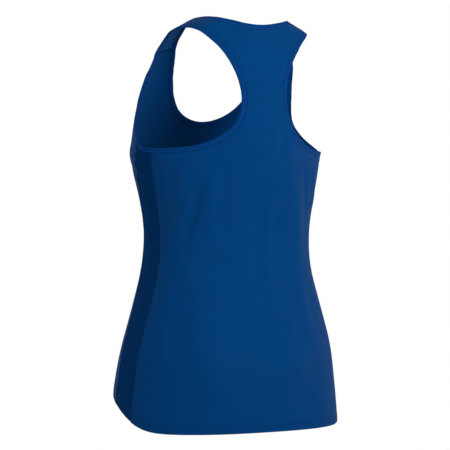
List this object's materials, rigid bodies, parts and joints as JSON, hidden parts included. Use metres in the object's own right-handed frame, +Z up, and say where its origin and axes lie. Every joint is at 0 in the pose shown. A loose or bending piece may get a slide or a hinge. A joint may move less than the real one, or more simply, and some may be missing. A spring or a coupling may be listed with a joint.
{
  "type": "running singlet",
  "caption": "Sleeveless fitted racerback running top, scoop neck, bound armholes, contrast side panels and a dropped back hem, filled out as worn but empty.",
  "frame": {"origin": "midway between the two straps, on the line over the shoulders, level with the top of the neck edge", "axes": "+Z up along the body, the wearer faces -Y, +X is the wearer's left"},
  "size_m": [0.3712, 0.258, 0.631],
  "materials": {
    "knit": "smooth fine polyester knit, royal blue, matt with a soft sheen",
    "side_knit": "fine mesh knit, navy, matt",
    "binding": "folded strip of the same royal blue knit"
  },
  "bodies": {
    "root": {"front_panel": "knit", "back_panel": "knit", "side_panel_left": "side_knit", "side_panel_right": "side_knit", "neck_band": "binding", "armhole_band_left": "binding", "armhole_band_right": "binding"}
  },
  "joints": []
}
